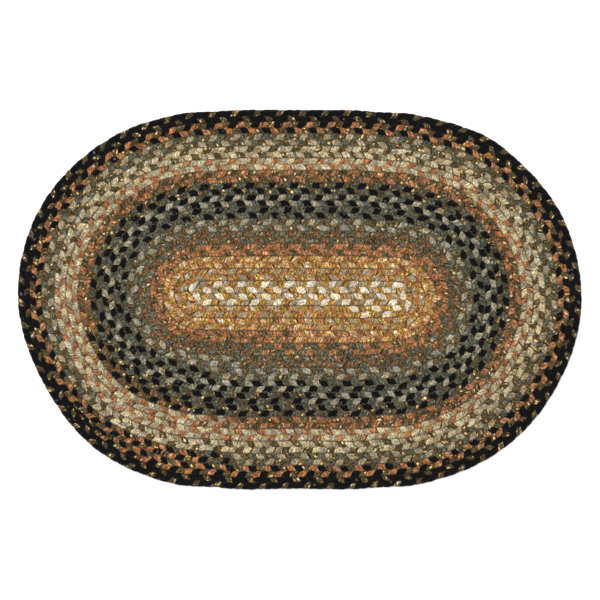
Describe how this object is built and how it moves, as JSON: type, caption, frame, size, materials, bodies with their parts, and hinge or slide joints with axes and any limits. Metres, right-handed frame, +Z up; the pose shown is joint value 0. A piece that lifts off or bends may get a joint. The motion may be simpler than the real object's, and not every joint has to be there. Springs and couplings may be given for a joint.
{
  "type": "braided rug",
  "caption": "Oval braided rug: a long plaited strip coiled and sewn into a flat oval mat, edged with a dark braided ring.",
  "frame": {"origin": "centre of the rug's outline, on the surface that it lies on", "axes": "+X along the rug's length, +Y across it, +Z up out of its face"},
  "size_m": [0.761, 0.5124, 0.0095],
  "materials": {
    "coil_cloth": "matte cotton strips plaited three by three, in tan, cream, rust, gold, olive, grey-green and black by turns",
    "border_cloth": "matte cotton strips, two black and one printed olive"
  },
  "bodies": {
    "root": {"coiled_braid": "coil_cloth", "border_braid": "border_cloth"}
  },
  "joints": []
}
